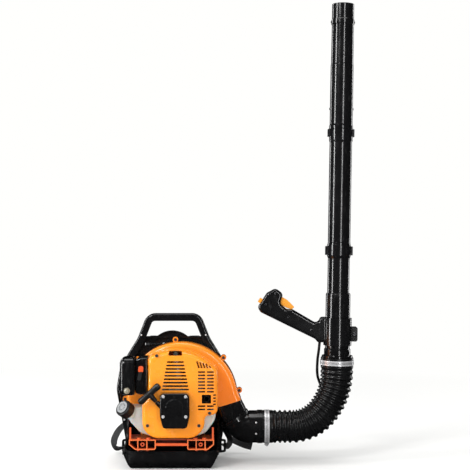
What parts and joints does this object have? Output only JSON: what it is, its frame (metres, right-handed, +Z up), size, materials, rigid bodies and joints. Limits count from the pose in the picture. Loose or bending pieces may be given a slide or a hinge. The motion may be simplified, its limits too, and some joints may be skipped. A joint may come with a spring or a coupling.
{
  "type": "backpack leaf blower",
  "caption": "Backpack petrol leaf blower: moulded back frame with carry handle and harness, covered engine with scroll fan, ribbed hose, upright tubes and throttle handle.",
  "frame": {"origin": "middle of the flat underside of the base", "axes": "+Z up, +X towards the air tube, +Y towards the wearer's back"},
  "size_m": [0.7261, 0.3927, 1.3406],
  "materials": {
    "black_plastic": "glossy moulded plastic",
    "orange_plastic": "glossy moulded plastic",
    "red_orange_plastic": "satin moulded plastic",
    "tank_plastic": "translucent milky polyethylene",
    "cap_plastic": "satin moulded plastic",
    "hose_rubber": "corrugated rubber",
    "rubber": "matte",
    "foam": "open-cell foam",
    "fabric": "padded woven cloth",
    "webbing": "woven nylon webbing",
    "buckle_plastic": "moulded acetal",
    "aluminium": "die cast",
    "steel": "machined",
    "muffler_steel": "pressed sheet",
    "clamp_steel": "bright worm-drive band",
    "screw_steel": "zinc plated",
    "primer_rubber": "soft clear bulb",
    "coil_plastic": "potted coil",
    "rope": "braided nylon"
  },
  "bodies": {
    "unit": {"backpack_frame": "black_plastic", "back_pad": "fabric", "shoulder_strap_left": "fabric", "shoulder_strap_right": "fabric", "strap_webbing": "webbing", "strap_hardware": "buckle_plastic", "vibration_mounts": "rubber", "engine_stand": "red_orange_plastic", "fan_case_front": "orange_plastic", "fan_case_rear": "black_plastic", "case_screws": "screw_steel", "intake_grille": "black_plastic", "crankcase_front": "aluminium", "crankcase_rear": "aluminium", "main_bearings": "steel", "cylinder": "aluminium", "ignition_coil": "coil_plastic", "spark_plug": "coil_plastic", "carburetor_body": "aluminium", "air_cleaner_case": "black_plastic", "air_cleaner_cover": "black_plastic", "air_filter_element": "foam", "carburetor_cover": "black_plastic", "muffler": "muffler_steel", "engine_cover": "orange_plastic", "recoil_housing": "black_plastic", "recoil_spring": "steel", "fuel_tank": "tank_plastic", "outlet_elbow": "black_plastic", "throttle_cable_unit": "rubber"},
    "crank": {"crankshaft": "steel", "flywheel": "aluminium", "impeller": "cap_plastic"},
    "piston_group": {"piston": "aluminium", "piston_pin_and_rings": "steel"},
    "rod": {"connecting_rod": "steel"},
    "throttle_valve": {"throttle_shaft": "steel"},
    "choke": {"choke_lever": "red_orange_plastic"},
    "primer": {"primer_bulb": "primer_rubber"},
    "starter_pulley": {"recoil_pulley": "cap_plastic"},
    "starter_grip": {"starter_handle": "cap_plastic", "starter_rope": "rope"},
    "cap_lift": {"cap_seal": "rubber"},
    "cap": {"fuel_cap": "cap_plastic"},
    "elbow": {"swivel_elbow": "black_plastic", "hose_clamp_lower": "clamp_steel", "flexible_hose": "hose_rubber", "throttle_cable_elbow": "rubber", "throttle_cable_hose": "rubber"},
    "wand": {"hose_clamp_upper": "clamp_steel", "swivel_tube": "black_plastic", "lower_tube": "black_plastic", "handle_shell_front": "black_plastic", "handle_shell_rear": "black_plastic", "handle_fasteners": "screw_steel", "throttle_cable_wand": "rubber"},
    "middle": {"middle_tube": "black_plastic"},
    "nozzle": {"nozzle_tube": "black_plastic"},
    "trigger": {"trigger": "orange_plastic"},
    "switch": {"stop_switch": "orange_plastic"}
  },
  "joints": [
    {"name": "crank_spin", "type": "hinge", "parent": "unit", "child": "crank", "pos_m": [0.015, 0, 0.185], "axis": [0, 1, 0], "continuous": true},
    {"name": "piston_slide", "type": "slide", "parent": "unit", "child": "piston_group", "axis": [0, 0, 1], "range_m": [-0.032, 0]},
    {"name": "rod_swing", "type": "hinge", "parent": "piston_group", "child": "rod", "pos_m": [0.015, -0.068, 0.267], "axis": [0, 1, 0], "range_deg": [-14, 14]},
    {"name": "throttle_trigger", "type": "hinge", "parent": "wand", "child": "trigger", "pos_m": [0.309, 0.015, 0.476], "axis": [0, 1, 0], "range_deg": [0, 20], "stiffness_Nm_per_rad": 0.3, "springref_deg": -5.73},
    {"name": "throttle_turn", "type": "hinge", "parent": "unit", "child": "throttle_valve", "pos_m": [-0.055, -0.068, 0.262], "axis": [0, 0, 1], "range_deg": [0, 70]},
    {"name": "choke_turn", "type": "hinge", "parent": "unit", "child": "choke", "pos_m": [-0.086, -0.1, 0.262], "axis": [0, 1, 0], "range_deg": [-75, 0]},
    {"name": "primer_press", "type": "slide", "parent": "unit", "child": "primer", "axis": [0, 1, 0], "range_m": [0, 0.004], "stiffness_N_per_m": 400, "springref_m": -0.001},
    {"name": "starter_pull", "type": "slide", "parent": "unit", "child": "starter_grip", "axis": [-0.67, 0, 0.7424], "range_m": [0, 0.6], "stiffness_N_per_m": 12, "springref_m": -0.08, "deforming": ["starter_rope"]},
    {"name": "pulley_spin", "type": "hinge", "parent": "unit", "child": "starter_pulley", "pos_m": [0.015, -0.15, 0.185], "axis": [0, 1, 0], "range_deg": [0, 1210], "deforming": ["recoil_spring"]},
    {"name": "cap_turn", "type": "hinge", "parent": "cap_lift", "child": "cap", "pos_m": [-0.108, -0.089, 0.154], "axis": [-0.5272, -0.6664, 0.5272], "range_deg": [0, 1081]},
    {"name": "cap_thread", "type": "slide", "parent": "unit", "child": "cap_lift", "axis": [-0.5272, -0.6664, 0.5272], "range_m": [0, 0.009]},
    {"name": "elbow_swivel", "type": "hinge", "parent": "unit", "child": "elbow", "pos_m": [0.1845, 0.015, 0.1246], "axis": [0.5373, 0, -0.8434], "range_deg": [-50, 25], "deforming": ["throttle_cable_elbow"]},
    {"name": "hose_bend", "type": "hinge", "parent": "elbow", "child": "wand", "pos_m": [0.418, 0.015, 0.16], "axis": [0, 1, 0], "range_deg": [-15, 70], "deforming": ["flexible_hose", "throttle_cable_hose"]},
    {"name": "middle_tube_twist", "type": "hinge", "parent": "wand", "child": "middle", "pos_m": [0.48778, 0.015, 0.62114], "axis": [0.0175, 0, 0.9998], "range_deg": [0, 30]},
    {"name": "nozzle_twist", "type": "hinge", "parent": "middle", "child": "nozzle", "pos_m": [0.49368, 0.015, 0.95909], "axis": [0.0175, 0, 0.9998], "range_deg": [0, 30]},
    {"name": "switch_slide", "type": "slide", "parent": "wand", "child": "switch", "axis": [0.5402, 0, 0.8415], "range_m": [0, 0.005]}
  ],
  "couplings": [
    {"joint": "throttle_turn", "follows": "throttle_trigger", "ratio": 3.5},
    {"joint": "pulley_spin", "follows": "starter_pull", "rad_per_m": 35.088},
    {"joint": "cap_turn", "follows": "cap_thread", "rad_per_m": 2094.4}
  ]
}
